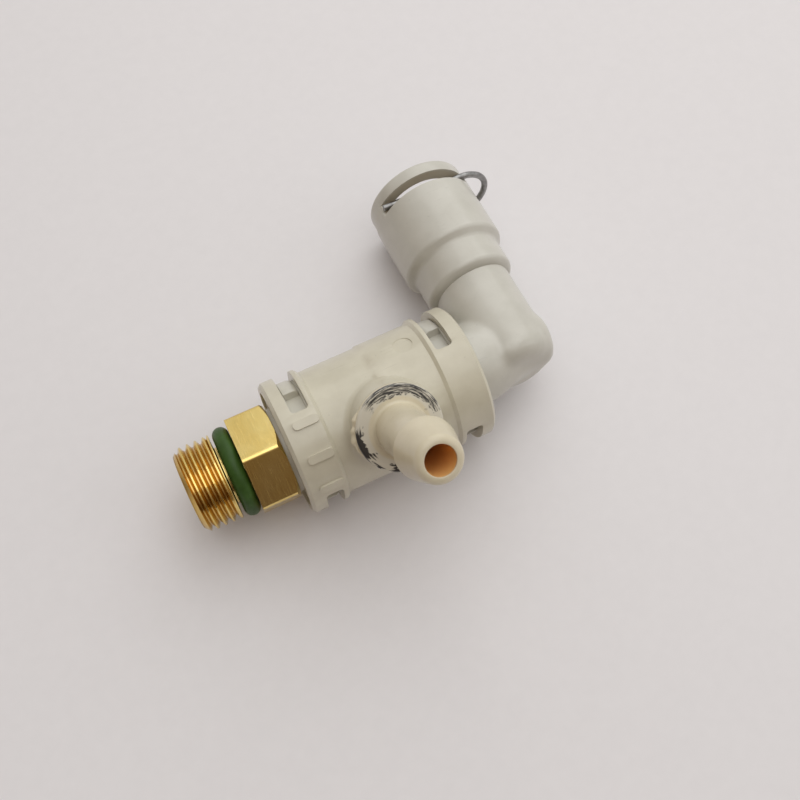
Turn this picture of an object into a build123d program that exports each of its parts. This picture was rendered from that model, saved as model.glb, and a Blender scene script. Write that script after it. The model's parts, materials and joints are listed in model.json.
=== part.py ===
from build123d import *
import os
from math import asin, atan2, cos, degrees, hypot, pi, sin, sqrt

# Self-priming valve for a pump outlet, in millimetres.
# X runs along the valve from the pump to the outlet and Z is up. The valve lies as it rests on a table,
# on its two collars and the rim of its outlet arm. The origin is on the valve's axis, at the middle of
# the inlet thread.

# Inlet fitting, turned from brass, with a parallel pipe thread of size 1/8
thread_r = 4.864
thread_length = 4.3
thread_chamfer = 0.7
neck_r = 3.3
neck_length = 2.2
hex_flats = 10.5
hex_length = 4.4
hex_chamfer = 0.5
hex_turn = 44.6
inlet_bore_r = 2.0
shank_r = 3.9
shank_length = 3.8
face_seal_section = 1.84

# Valve body, moulded
body_half_length = 11.05
collar_rise = 0.36
collar_wall = 0.98
collar_length = 4.5
collar_depth = 4.1
tube_inlet_r = 7.18
tube_outlet_r = 7.34
tube_step = 0.3
passage_r = 1.7
seal_bore_r = 5.1
seal_bore_floor = 4.3
lip_width = 1.7
window_width = 2.0
window_half_angle = 51
window_round = 0.45
boss_r = 4.67
boss_height = 9.5
boss_fillet = 0.9
bar_length = 2.9
bar_width = 0.95
bar_height = 0.22
bar_pitch_angle = 28.5
bar_count = 3
mark_r = 1.1
mark_depth = 0.12
mark_distance = 4.6
mark_angle = 60

# How the valve lies: the barb leans from upright towards the viewer
body_roll = 37

# Snap plugs at both ends of the body
running_gap = 0.06
end_gap = 0.2
seat_gap = 0.03
seal_groove_width = 1.7
seal_groove_depth = 1.25
lug_half_angle = 24
lug_height = 0.25
lug_width = 1.7
lug_ramp = 0.5
snap_groove_depth = 0.6
plug_inset = 0.3
hub_r = 4.9
collar_gap = 0.4

# Hose barb, welded on the boss
weld_flange = 0.8
weld_spigot = 1.0
barb_length = 13.6
barb_neck_r = 2.65
barb_ridge_r = 3.2
barb_ridge_length = 4.7
barb_tip_r = 2.3
barb_tip_round = 0.7
barb_base_slope = 0.35
barb_bore_r = 1.54

# Vent valve in the boss
chamber_r = 2.9
chamber_floor = 3.0
vent_port_r = 1.1
vent_travel = 1.05
vent_disc = 1.3
vent_dish_r = 2.2
vent_dish_depth = 0.5
vent_flute_r = 0.7
vent_flute_count = 4
vent_stem_r = 1.35
vent_pin_r = 0.7
vent_pin = 0.5
vent_seal_r = 1.9
vent_seal_thickness = 0.8
vent_spring_r = 2.3
vent_spring_wire = 0.34
vent_coil_count = 5

# Flats round thin wire and rubber rings, and straight runs in a spring's turn
wire_flat_count = 8
ring_flat_count = 10
coil_flat_count = 4
coil_step_count = 12

# Share of a round's radius by which its middle point lies inside the corner
round_share = 0.293

# Check valve in the outlet plug
check_chamber_r = 2.7
check_chamber_end = 10.4
check_head_r = 2.5
check_head = 1.0
check_seal_r = 2.3
check_seal_thickness = 0.7
check_flute_count = 3
check_flute_r = 0.9
check_stem_r = 1.1
check_stem_length = 2.6
check_spring_r = 1.75
check_spring_wire = 0.4
check_coil_count = 5

# Outlet elbow, moulded
outlet_passage_r = 1.9
flank_r = 4.85
flank_end = 12.6
shoulder_r = 4.5
shoulder_end = 14.3
knuckle_r = 3.4
knuckle_start = 17.6
knuckle_end = 21.4
knuckle_round = 1.6
arm_distance = 16.8
arm_r = 4.62
arm_back = 3.3
arm_round = 2.2
arm_length = 9.05
mid_r = 5.45
mid_length = 4.2
socket_r = 6.3
socket_length = 7.9
slot_width = 1.5
rim_r = 6.15
rim_length = 1.65
rim_edge = 0.4
step_slope = 0.35
tube_bore_r = 4.05
tube_bore_floor = 14.2
tube_lead = 0.4
entry_bore_r = 4.6
entry_floor = 20.0

# Wire clip across the outlet socket
slot_floor = 3.1
clip_wire = 0.78
clip_seat_gap = 0.1
clip_stand = 1.8
clip_tail = 0.1

# Stations along the valve's axis
neck_x = (thread_length - thread_chamfer) / 2
thread_tip_x = neck_x - thread_length
hex_x = neck_x + neck_length
hex_end_x = hex_x + hex_length
barb_x = hex_end_x + collar_gap + body_half_length
arm_x = barb_x + arm_distance

# Distances from the body's middle, shared by both ends
collar_r = tube_outlet_r + collar_rise
collar_bore_r = collar_r - collar_wall
collar_floor = body_half_length - collar_depth
window_far = body_half_length - lip_width
window_near = window_far - window_width
core_r = collar_bore_r - running_gap
core_end = body_half_length - plug_inset
core_start = collar_floor + end_gap
nose_r = seal_bore_r - running_gap
nose_start = seal_bore_floor + end_gap
seal_groove_r = nose_r - seal_groove_depth
snap_groove_r = core_r - snap_groove_depth
seal_middle = (nose_start + core_start) / 2
lug_far = (window_far + window_near + lug_width) / 2
lug_near = lug_far - lug_width

# Stations along the barb, from the valve's axis
barb_shoulder = boss_height + weld_flange
barb_tip = barb_shoulder + barb_length
ridge_back = barb_tip - barb_ridge_length
vent_seat = boss_height - weld_spigot
vent_seal_base = vent_seat - running_gap - vent_travel - vent_seal_thickness
vent_disc_base = chamber_floor + running_gap
vent_disc_top = vent_disc_base + vent_disc

# Stations along the outlet arm, from the valve's axis
mid_end = arm_length + mid_length
slot_start = mid_end + socket_length
slot_end = slot_start + slot_width
rim_end = slot_end + rim_length
leg_height = slot_floor + clip_seat_gap + clip_wire / 2

# The arm droops until the edge of its rim meets the plane that the collars rest on
rim_reach = hypot(rim_end - rim_edge, rim_r)
rim_angle = degrees(atan2(rim_r, rim_end - rim_edge))
arm_tilt = rim_angle - degrees(asin(collar_r / rim_reach))


def turned(*points):
    """A solid turned about X from points of distance along X and radius."""
    return revolve(make_face(Polyline(*points, close=True)), Axis.X)


def from_middle(way, *points):
    """A solid turned about X, placed by distance from the body's middle."""
    return turned(*[(barb_x + way * distance, radius) for distance, radius in points])


def standing(*points):
    """A solid turned about Z from points of radius and height."""
    return revolve(make_face(Plane.XZ * Polyline(*points, close=True)), Axis.Z)


def post(radius, base, top):
    """A round post about Z."""
    return Pos(Z=base) * Cylinder(radius, top - base, align=(Align.CENTER, Align.CENTER, Align.MIN))


def on_barb(piece):
    """Set a standing piece on the barb's axis."""
    return Pos(X=barb_x) * piece


def along_arm(*points):
    """A solid turned about the outlet arm from points of radius and distance."""
    return Pos(X=arm_x) * revolve(make_face(Polyline(*points, close=True)), Axis.Y)


def side_sector(way, half_angle, *points):
    """A sector about X on one side of the valve, turned from its section."""
    outline = [(barb_x + way * distance, radius) for distance, radius in points]
    return Rot(X=-half_angle) * revolve(make_face(Polyline(*outline, close=True)), Axis.X, 2 * half_angle)


def both_sides(sector):
    """A sector and its like on the other side of the valve."""
    return [sector, Rot(X=180) * sector]


def rolled(piece):
    """Turn a piece of the body from upright to the way the valve lies."""
    return Rot(X=body_roll) * piece


def drooped(piece):
    """Turn a piece of the elbow from level to the way its arm lies."""
    return Rot(X=arm_tilt) * piece


def coil(length, mean_r, wire, turns):
    """A compression spring standing on the XY plane, its helix in short straight runs."""
    steps = turns * coil_step_count
    rise = (length - wire) / steps
    points = []
    for step in range(steps + 1):
        angle = 2 * pi * step / coil_step_count
        points.append((mean_r * cos(angle), mean_r * sin(angle), wire / 2 + rise * step))
    path = Polyline(*points)
    section = Plane(path @ 0, z_dir=path % 0) * RegularPolygon(wire / 2, coil_flat_count)
    return sweep(section, path, transition=Transition.RIGHT)


def fluted(piece, reach, flute_r, count):
    """Cut flow flutes along Z into the edge of a standing disc."""
    for turn in range(count):
        piece -= Rot(Z=360 / count * turn) * Pos(X=reach) * Cylinder(flute_r, 4 * body_half_length)
    return piece


def inlet_face_seal():
    """Round rubber ring in the neck of the brass inlet, against its hexagon."""
    section_r = face_seal_section / 2
    middle_x = hex_x - seat_gap - section_r
    section = RegularPolygon(section_r, ring_flat_count)
    return revolve(Pos(middle_x, neck_r + seat_gap + section_r) * section, Axis.X)


def plug_seal(way):
    """Rubber ring squeezed in the groove of a snap plug."""
    inner_r = seal_groove_r + seat_gap
    outer_r = seal_bore_r - seat_gap
    section = Rectangle(seal_groove_width - 2 * running_gap, outer_r - inner_r)
    return revolve(Pos(barb_x + way * seal_middle, (inner_r + outer_r) / 2) * section, Axis.X)


def inlet_fitting():
    """Threaded brass inlet with a seal neck, a hexagon and a shank for its plug."""
    hex_middle = hex_x + hex_length / 2
    shank_end = hex_end_x + shank_length
    stem = turned(
        (thread_tip_x, 0),
        (thread_tip_x, thread_r - thread_chamfer),
        (thread_tip_x + thread_chamfer, thread_r),
        (neck_x, thread_r),
        (neck_x, neck_r),
        (hex_middle, neck_r),
        (hex_middle, shank_r),
        (shank_end, shank_r),
        (shank_end, 0),
    )
    corner_r = hex_flats / sqrt(3)
    prism = extrude(Plane.YZ.offset(hex_x) * RegularPolygon(corner_r, 6, rotation=hex_turn), hex_length)
    envelope = turned(
        (hex_x, 0),
        (hex_x, corner_r),
        (hex_end_x - hex_chamfer, corner_r),
        (hex_end_x, hex_flats / 2),
        (hex_end_x, 0),
    )
    bore = turned(
        (thread_tip_x, 0),
        (thread_tip_x, inlet_bore_r),
        (shank_end, inlet_bore_r),
        (shank_end, 0),
    )
    return stem + (prism & envelope) - bore


def snap_plug(way):
    """The part of a plug inside the body: a sealed nose, a grooved core and two snap lugs."""
    groove_near = seal_middle - seal_groove_width / 2
    groove_far = seal_middle + seal_groove_width / 2
    plug = from_middle(
        way,
        (nose_start, 0),
        (nose_start, nose_r),
        (groove_near, nose_r),
        (groove_near, seal_groove_r),
        (groove_far, seal_groove_r),
        (groove_far, nose_r),
        (core_start, nose_r),
        (core_start, core_r),
        (lug_near, core_r),
        (lug_near, snap_groove_r),
        (lug_far, snap_groove_r),
        (lug_far, core_r),
        (core_end, core_r),
        (core_end, 0),
    )
    lug = side_sector(
        way,
        lug_half_angle,
        (lug_near, seal_bore_r),
        (lug_near, core_r),
        (lug_near + lug_ramp, core_r + lug_height),
        (lug_far, core_r + lug_height),
        (lug_far, seal_bore_r),
    )
    return plug, both_sides(lug)


def inlet_plug():
    """Plastic plug that carries the brass inlet in the body's first collar."""
    plug, lugs = snap_plug(-1)
    hex_face = body_half_length + collar_gap
    shank_floor = hex_face - shank_length - seat_gap
    plug += from_middle(-1, (core_start, 0), (core_start, hub_r), (hex_face, hub_r), (hex_face, 0))
    plug += lugs
    return plug - from_middle(
        -1,
        (nose_start, 0),
        (nose_start, inlet_bore_r),
        (shank_floor, inlet_bore_r),
        (shank_floor, shank_r + seat_gap),
        (hex_face, shank_r + seat_gap),
        (hex_face, 0),
    )


def valve_body():
    """Moulded tee with a windowed snap collar at each end and a boss for the vent."""
    tube_half = body_half_length - collar_length / 2
    tube = from_middle(
        1,
        (-tube_half, 0),
        (-tube_half, tube_inlet_r),
        (tube_half, tube_inlet_r),
        (tube_half, 0),
    )
    body = tube + on_barb(post(boss_r, 0, boss_height))
    seam = body.edges().filter_by(lambda edge: edge.geom_type not in (GeomType.LINE, GeomType.CIRCLE))
    body = fillet(seam, boss_fillet)
    step = tube_outlet_r - tube_inlet_r
    body += from_middle(
        1,
        (tube_step - step, 0),
        (tube_step - step, tube_inlet_r),
        (tube_step + step, tube_outlet_r),
        (tube_half, tube_outlet_r),
        (tube_half, 0),
    )
    for way in (-1, 1):
        collar_start = body_half_length - collar_length
        body += from_middle(
            way,
            (collar_start, 0),
            (collar_start, tube_outlet_r),
            (collar_start + collar_rise, collar_r),
            (body_half_length - collar_rise, collar_r),
            (body_half_length, tube_outlet_r),
            (body_half_length, 0),
        )

    body -= from_middle(
        1,
        (-seal_bore_floor, 0),
        (-seal_bore_floor, passage_r),
        (seal_bore_floor, passage_r),
        (seal_bore_floor, 0),
    )
    window_middle = (window_near + window_far) / 2
    for way in (-1, 1):
        body -= from_middle(
            way,
            (seal_bore_floor, 0),
            (seal_bore_floor, seal_bore_r),
            (collar_floor, seal_bore_r),
            (collar_floor, collar_bore_r),
            (body_half_length, collar_bore_r),
            (body_half_length, 0),
        )
        window = side_sector(
            way,
            window_half_angle,
            (window_near, seal_bore_r),
            (window_near, collar_r + collar_wall),
            (window_far, collar_r + collar_wall),
            (window_far, seal_bore_r),
        )
        corners = window.edges().filter_by(GeomType.LINE).filter_by(Axis.X, reverse=True)
        body -= both_sides(fillet(corners, window_round))

    body -= on_barb(post(vent_port_r, 0, chamber_floor))
    body -= on_barb(post(chamber_r, chamber_floor, boss_height))
    bar = extrude(SlotOverall(bar_length, bar_width), 2 * bar_height)
    for turn in range(bar_count):
        lean = (turn - (bar_count - 1) / 2) * bar_pitch_angle
        body += Rot(X=lean) * Pos(X=barb_x - window_middle, Z=collar_r - bar_height) * bar
    mark = Pos(X=mark_distance) * post(mark_r, tube_outlet_r - mark_depth, tube_outlet_r + mark_depth)
    return body - Rot(X=-mark_angle) * on_barb(mark)


def hose_barb():
    """Hose tail with one ridge, on a flange and spigot that close the boss."""
    spigot_r = chamber_r - seat_gap
    barb = standing(
        (barb_bore_r, vent_seat),
        (spigot_r, vent_seat),
        (spigot_r, boss_height),
        (boss_r, boss_height),
        (boss_r, barb_shoulder),
        (barb_neck_r + barb_base_slope, barb_shoulder),
        (barb_neck_r, barb_shoulder + barb_base_slope),
        (barb_neck_r, ridge_back),
        (barb_ridge_r, ridge_back),
        (barb_tip_r, barb_tip - barb_tip_round),
        (barb_tip_r - round_share * barb_tip_round, barb_tip - round_share * barb_tip_round),
        (barb_tip_r - barb_tip_round, barb_tip),
        (barb_bore_r, barb_tip),
    )
    return on_barb(barb)


def vent_piston():
    """Light piston that the flow lifts, with a dished foot, flutes and a stem."""
    disc_r = chamber_r - running_gap
    piston = standing(
        (0, vent_disc_base + vent_dish_depth),
        (vent_dish_r, vent_disc_base + vent_dish_depth),
        (vent_dish_r, vent_disc_base),
        (disc_r, vent_disc_base),
        (disc_r, vent_disc_top),
        (vent_stem_r, vent_disc_top),
        (vent_stem_r, vent_seal_base),
        (vent_pin_r, vent_seal_base),
        (vent_pin_r, vent_seal_base + vent_pin),
        (0, vent_seal_base + vent_pin),
    )
    return on_barb(fluted(piston, disc_r, vent_flute_r, vent_flute_count))


def vent_seal():
    """Rubber cap on the vent piston's pin."""
    top = vent_seal_base + vent_seal_thickness
    return on_barb(
        standing(
            (vent_pin_r, vent_seal_base),
            (vent_seal_r, vent_seal_base),
            (vent_seal_r, top),
            (0, top),
            (0, vent_seal_base + vent_pin),
            (vent_pin_r, vent_seal_base + vent_pin),
        )
    )


def vent_spring():
    """Spring that holds the vent open until water arrives."""
    length = vent_seat - vent_disc_top - 2 * seat_gap
    spring = coil(length, vent_spring_r, vent_spring_wire, vent_coil_count)
    return on_barb(Pos(Z=vent_disc_top + seat_gap) * spring)


def in_outlet(piece):
    """Lay a standing piece along the outlet, with its base on the check valve's seat."""
    return Pos(X=barb_x + seal_bore_floor + seat_gap) * Rot(Y=90) * piece


def check_poppet():
    """Fluted poppet of the check valve, with a stem inside its spring."""
    head_top = check_seal_thickness + check_head
    poppet = standing(
        (0, check_seal_thickness),
        (check_head_r, check_seal_thickness),
        (check_head_r, head_top),
        (check_stem_r, head_top),
        (check_stem_r, head_top + check_stem_length),
        (0, head_top + check_stem_length),
    )
    return in_outlet(fluted(poppet, check_head_r, check_flute_r, check_flute_count))


def check_seal():
    """Rubber disc on the face of the poppet."""
    return in_outlet(post(check_seal_r, 0, check_seal_thickness))


def check_spring():
    """Spring that shuts the check valve, from the poppet to the end of its chamber."""
    foot = check_seal_thickness + check_head + seat_gap
    top = check_chamber_end - seal_bore_floor - seat_gap
    length = top - seat_gap - foot
    spring = coil(length, check_spring_r, check_spring_wire, check_coil_count)
    return in_outlet(Pos(Z=foot) * spring)


def outlet_elbow():
    """Moulded elbow: snap plug, knuckle and a stepped arm with a slotted tube socket."""
    plug, lugs = snap_plug(1)
    elbow = plug + [Rot(X=body_roll - arm_tilt) * lug for lug in lugs]
    knuckle = from_middle(
        1,
        (core_start, 0),
        (core_start, flank_r),
        (flank_end, flank_r),
        (shoulder_end, shoulder_r),
        (knuckle_start, knuckle_r),
        (knuckle_end - knuckle_round, knuckle_r),
        (knuckle_end - round_share * knuckle_round, knuckle_r - round_share * knuckle_round),
        (knuckle_end, knuckle_r - knuckle_round),
        (knuckle_end, 0),
    )
    slot_middle = (slot_start + slot_end) / 2
    arm = along_arm(
        (0, -arm_back),
        (arm_r - arm_round, -arm_back),
        (arm_r - round_share * arm_round, round_share * arm_round - arm_back),
        (arm_r, arm_round - arm_back),
        (arm_r, arm_length - step_slope),
        (mid_r, arm_length + step_slope),
        (mid_r, mid_end - step_slope),
        (socket_r, mid_end + step_slope),
        (socket_r, slot_middle),
        (rim_r, slot_middle),
        (rim_r, rim_end - rim_edge),
        (rim_r - rim_edge, rim_end),
        (0, rim_end),
    )
    elbow = elbow + knuckle + arm
    elbow -= from_middle(
        1,
        (nose_start, 0),
        (nose_start, check_chamber_r),
        (check_chamber_end, check_chamber_r),
        (check_chamber_end, outlet_passage_r),
        (arm_distance + outlet_passage_r, outlet_passage_r),
        (arm_distance + outlet_passage_r, 0),
    )
    elbow -= along_arm(
        (0, 0),
        (outlet_passage_r, 0),
        (outlet_passage_r, tube_bore_floor),
        (tube_bore_r, tube_bore_floor),
        (tube_bore_r, entry_floor),
        (entry_bore_r, entry_floor),
        (entry_bore_r, rim_end - tube_lead),
        (entry_bore_r + tube_lead, rim_end),
        (0, rim_end),
    )
    for side in (-1, 1):
        slot = Box(3 * socket_r, slot_width, socket_r, align=(Align.CENTER, Align.CENTER, Align.MIN))
        elbow -= Pos(arm_x, slot_middle) * Rot(X=90 - 90 * side) * Pos(Z=slot_floor) * slot
    return elbow


def tube_clip():
    """Wire hairpin through both slots of the socket, with its bow outside."""
    middle = (slot_start + slot_end) / 2
    tail_x = arm_x - sqrt(socket_r**2 - leg_height**2) - clip_tail
    bow_x = arm_x + socket_r + clip_stand + clip_wire / 2
    leg_end_x = bow_x - leg_height
    upper = Line((tail_x, middle, leg_height), (leg_end_x, middle, leg_height))
    bow = ThreePointArc(upper @ 1, (bow_x, middle, 0), (leg_end_x, middle, -leg_height))
    lower = Line(bow @ 1, (tail_x, middle, -leg_height))
    path = upper + bow + lower
    return sweep(Plane(path @ 0, z_dir=path % 0) * RegularPolygon(clip_wire / 2, wire_flat_count), path)


pieces = {
    "inlet_fitting": inlet_fitting(),
    "inlet_face_seal": inlet_face_seal(),
    "inlet_plug": rolled(inlet_plug()),
    "inlet_plug_seal": plug_seal(-1),
    "valve_body": rolled(valve_body()),
    "hose_barb": rolled(hose_barb()),
    "vent_piston": rolled(vent_piston()),
    "vent_seal": rolled(vent_seal()),
    "vent_spring": rolled(vent_spring()),
    "check_poppet": check_poppet(),
    "check_seal": check_seal(),
    "check_spring": check_spring(),
    "outlet_elbow": drooped(outlet_elbow()),
    "elbow_plug_seal": plug_seal(1),
    "tube_clip": drooped(tube_clip()),
}

os.makedirs("parts", exist_ok=True)
for name, piece in pieces.items():
    export_step(piece, f"parts/{name}.step")
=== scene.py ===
import json
import math
import bmesh
import bpy
from mathutils import Matrix, Vector, bvhtree, noise


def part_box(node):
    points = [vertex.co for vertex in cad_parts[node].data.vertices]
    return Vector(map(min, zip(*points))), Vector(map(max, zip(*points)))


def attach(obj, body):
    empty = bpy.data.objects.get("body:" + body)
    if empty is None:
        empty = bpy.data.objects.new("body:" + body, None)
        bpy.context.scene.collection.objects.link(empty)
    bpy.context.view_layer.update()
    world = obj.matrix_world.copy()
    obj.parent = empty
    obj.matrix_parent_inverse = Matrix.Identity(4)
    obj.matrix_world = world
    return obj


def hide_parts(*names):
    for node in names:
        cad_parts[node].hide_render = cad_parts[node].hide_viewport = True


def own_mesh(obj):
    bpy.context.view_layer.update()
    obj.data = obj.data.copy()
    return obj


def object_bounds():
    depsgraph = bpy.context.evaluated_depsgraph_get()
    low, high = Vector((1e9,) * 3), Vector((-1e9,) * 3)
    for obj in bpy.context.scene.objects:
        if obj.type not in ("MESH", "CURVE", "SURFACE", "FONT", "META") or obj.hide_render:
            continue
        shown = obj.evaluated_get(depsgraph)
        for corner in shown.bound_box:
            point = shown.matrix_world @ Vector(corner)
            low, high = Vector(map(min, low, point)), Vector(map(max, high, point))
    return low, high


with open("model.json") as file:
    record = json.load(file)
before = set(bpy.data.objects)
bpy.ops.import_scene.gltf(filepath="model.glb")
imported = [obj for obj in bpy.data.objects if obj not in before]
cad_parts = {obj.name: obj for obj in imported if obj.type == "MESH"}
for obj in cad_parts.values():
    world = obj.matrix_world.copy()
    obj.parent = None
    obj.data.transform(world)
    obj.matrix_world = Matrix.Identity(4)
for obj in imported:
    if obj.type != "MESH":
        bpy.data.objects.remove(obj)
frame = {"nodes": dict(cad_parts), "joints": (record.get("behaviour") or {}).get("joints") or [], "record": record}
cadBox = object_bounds()
print("frame loaded:", len(frame["nodes"]), "nodes")

# shapes are modelled in millimetres and scaled to metres when they are finished
toMetres = 0.001
mergeGap = 1e-4
flatDegrees = 0.3
joints = {joint["name"]: joint for joint in frame["joints"]}
mounts = {mount["name"]: mount for mount in frame["record"]["mounts"]}
barbX = joints["inlet_swivel"]["pos_m"][0] / toMetres
armX = mounts["outlet_socket"]["pos_m"][0] / toMetres
barbAxis = joints["vent_lift"]["axis"]
armAxis = mounts["outlet_socket"]["axis"]
roll = math.atan2(-barbAxis[1], barbAxis[2])
droop = math.atan2(armAxis[2], armAxis[1])
floorZ = cadBox[0].z

inPlace = Matrix.Identity(4)
onBarb = Matrix.Rotation(roll, 4, "X") @ Matrix.Translation((barbX, 0, 0))
inElbow = Matrix.Rotation(droop, 4, "X") @ Matrix.Translation((barbX, 0, 0))
onArm = Matrix.Rotation(droop, 4, "X") @ Matrix.Translation((armX, 0, 0))


# mesh helpers

def sideOf(axis, along, radius):
    return {"X": (along, radius, 0), "Y": (radius, along, 0), "Z": (radius, 0, along)}[axis]


def turnedShape(axis, profile, ring=False, steps=96, sweep=360, roundSteps=5):
    # profile rows are (along, radius) or (along, radius, rounding)
    bm = bmesh.new()
    corners = [bm.verts.new(sideOf(axis, row[0], row[1])) for row in profile]
    for start, end in zip(corners, corners[1:]):
        bm.edges.new((start, end))
    if ring:
        bm.edges.new((corners[-1], corners[0]))
    for corner, row in zip(corners, profile):
        if len(row) > 2:
            bmesh.ops.bevel(bm, geom=[corner], offset=row[2], offset_type="OFFSET", segments=roundSteps,
                            profile=0.5, affect="VERTICES", clamp_overlap=True, material=-1)
    full = sweep == 360
    bmesh.ops.spin(bm, geom=bm.verts[:] + bm.edges[:], cent=(0, 0, 0), axis=sideOf(axis, 1, 0),
                   dvec=(0, 0, 0), angle=math.radians(sweep), steps=steps, use_merge=full,
                   use_duplicate=False)
    bmesh.ops.remove_doubles(bm, verts=bm.verts, dist=mergeGap)
    if not full:
        bmesh.ops.rotate(bm, verts=bm.verts, cent=(0, 0, 0),
                         matrix=Matrix.Rotation(math.radians(-sweep / 2), 3, axis))
        closeEnds(bm)
    bmesh.ops.recalc_face_normals(bm, faces=bm.faces)
    return bm


def closeEnds(bm):
    bmesh.ops.holes_fill(bm, edges=[edge for edge in bm.edges if edge.is_boundary], sides=0)


def moved(bm, matrix):
    bmesh.ops.transform(bm, matrix=matrix, verts=bm.verts)
    return bm


def joined(*shells):
    bm = bmesh.new()
    for shell in shells:
        scrap = bpy.data.meshes.new("scrap")
        shell.to_mesh(scrap)
        shell.free()
        bm.from_mesh(scrap)
        bpy.data.meshes.remove(scrap)
    return bm


def scrapObject(bm):
    mesh = bpy.data.meshes.new("scrap")
    bm.to_mesh(mesh)
    bm.free()
    scrap = bpy.data.objects.new("scrap", mesh)
    bpy.context.scene.collection.objects.link(scrap)
    return scrap


def takenBack(target, *others):
    # the mesh that the target's modifiers give, with the scrap objects cleared away
    bpy.context.view_layer.update()
    depsgraph = bpy.context.evaluated_depsgraph_get()
    mesh = bpy.data.meshes.new_from_object(target.evaluated_get(depsgraph))
    result = bmesh.new()
    result.from_mesh(mesh)
    bpy.data.meshes.remove(mesh)
    for scrap in (target, *others):
        scrapMesh = scrap.data
        bpy.data.objects.remove(scrap)
        bpy.data.meshes.remove(scrapMesh)
    bmesh.ops.remove_doubles(result, verts=result.verts, dist=mergeGap)
    return result


def carved(bm, operation, tool):
    target = scrapObject(bm)
    cutter = scrapObject(tool)
    cut = target.modifiers.new("cut", "BOOLEAN")
    cut.operation = operation
    cut.solver = "EXACT"
    cut.object = cutter
    return takenBack(target, cutter)


def remeshed(bm, voxel):
    target = scrapObject(bm)
    even = target.modifiers.new("even", "REMESH")
    even.mode = "VOXEL"
    even.voxel_size = voxel
    return takenBack(target)


def sharpEdges(bm, degrees):
    return [edge for edge in bm.edges
            if edge.is_manifold and edge.calc_face_angle() > math.radians(degrees)]


def bevelled(bm, edges, width, segments=2):
    bmesh.ops.bevel(bm, geom=edges, offset=width, offset_type="OFFSET", segments=segments, profile=0.5,
                    affect="EDGES", clamp_overlap=True, material=-1)
    return bm


def smoothed(bm, verts, factor, rounds=1):
    for again in range(rounds):
        bmesh.ops.smooth_vert(bm, verts=verts, factor=factor, use_axis_x=True, use_axis_y=True,
                              use_axis_z=True)
    return bm


def softened(bm, width, sharpest):
    # flat areas become whole faces, then the edges sharper than that many degrees are rounded
    bmesh.ops.dissolve_limit(bm, angle_limit=math.radians(flatDegrees), verts=bm.verts, edges=bm.edges,
                             delimit={"NORMAL"})
    return bevelled(bm, sharpEdges(bm, sharpest), width)


def copiedNode(node):
    # a merged copy of a CAD node, in millimetres
    bm = bmesh.new()
    bm.from_mesh(frame["nodes"][node].data)
    moved(bm, Matrix.Scale(1 / toMetres, 4))
    bmesh.ops.remove_doubles(bm, verts=bm.verts, dist=mergeGap)
    return bm


def finishedPiece(bm, name, body, node, material, place=inPlace, smoothAngle=40):
    moved(bm, Matrix.Scale(toMetres, 4) @ place)
    mesh = bpy.data.meshes.new(name)
    bm.to_mesh(mesh)
    bm.free()
    mesh.materials.clear()
    mesh.materials.append(material)
    mesh.shade_smooth()
    mesh.set_sharp_from_angle(angle=math.radians(smoothAngle))
    piece = bpy.data.objects.new(name, mesh)
    bpy.context.scene.collection.objects.link(piece)
    evenShade = piece.modifiers.new("evenShade", "WEIGHTED_NORMAL")
    evenShade.keep_sharp = True
    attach(piece, body)
    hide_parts(node)
    print("made", name, len(mesh.polygons), "faces")
    return piece


# node helpers

def fed(tree, socket, value):
    if isinstance(value, (int, float, tuple)):
        socket.default_value = value
    else:
        tree.links.new(value, socket)


def mathNode(tree, operation, *values):
    node = tree.nodes.new("ShaderNodeMath")
    node.operation = operation
    for socket, value in zip(node.inputs, values):
        fed(tree, socket, value)
    return node.outputs[0]


def product(tree, *values):
    result = values[0]
    for value in values[1:]:
        result = mathNode(tree, "MULTIPLY", result, value)
    return result


def noiseNode(tree, vector, scale, detail=3, roughness=0.55):
    node = tree.nodes.new("ShaderNodeTexNoise")
    fed(tree, node.inputs["Vector"], vector)
    fed(tree, node.inputs["Scale"], scale)
    node.inputs["Detail"].default_value = detail
    node.inputs["Roughness"].default_value = roughness
    return node.outputs["Fac"]


def rangeNode(tree, value, low, high, outLow=0, outHigh=1):
    node = tree.nodes.new("ShaderNodeMapRange")
    for name, number in (("Value", value), ("From Min", low), ("From Max", high), ("To Min", outLow),
                         ("To Max", outHigh)):
        fed(tree, node.inputs[name], number)
    return node.outputs["Result"]


def band(tree, value, low, high, soft):
    # 1 between low and high, fading over a soft edge
    return product(tree, rangeNode(tree, value, low - soft, low + soft),
                   rangeNode(tree, value, high + soft, high - soft))


def mixNode(tree, factor, first, second):
    node = tree.nodes.new("ShaderNodeMix")
    node.data_type = "RGBA"
    fed(tree, node.inputs["Factor"], factor)
    colours = [socket for socket in node.inputs if socket.type == "RGBA"]
    fed(tree, colours[0], first)
    fed(tree, colours[1], second)
    return [socket for socket in node.outputs if socket.type == "RGBA"][0]


def shaded(colour, share):
    return tuple(share * part for part in colour[:3]) + (1,)


def newGroup(name, inputs, outputs):
    group = bpy.data.node_groups.new(name, "ShaderNodeTree")
    group.interface.new_socket("Vector", in_out="INPUT", socket_type="NodeSocketVector")
    for socketName, value in inputs.items():
        socket = group.interface.new_socket(socketName, in_out="INPUT", socket_type="NodeSocketFloat")
        socket.default_value = value
    for socketName in outputs:
        group.interface.new_socket(socketName, in_out="OUTPUT", socket_type="NodeSocketFloat")
    return group, group.nodes.new("NodeGroupInput"), group.nodes.new("NodeGroupOutput")


def placedGroup(tree, group, vector, **values):
    node = tree.nodes.new("ShaderNodeGroup")
    node.node_tree = group
    tree.links.new(vector, node.inputs["Vector"])
    for name, value in values.items():
        node.inputs[name].default_value = value
    return node.outputs


# shared effects, each a node group with its own values in every material

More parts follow.
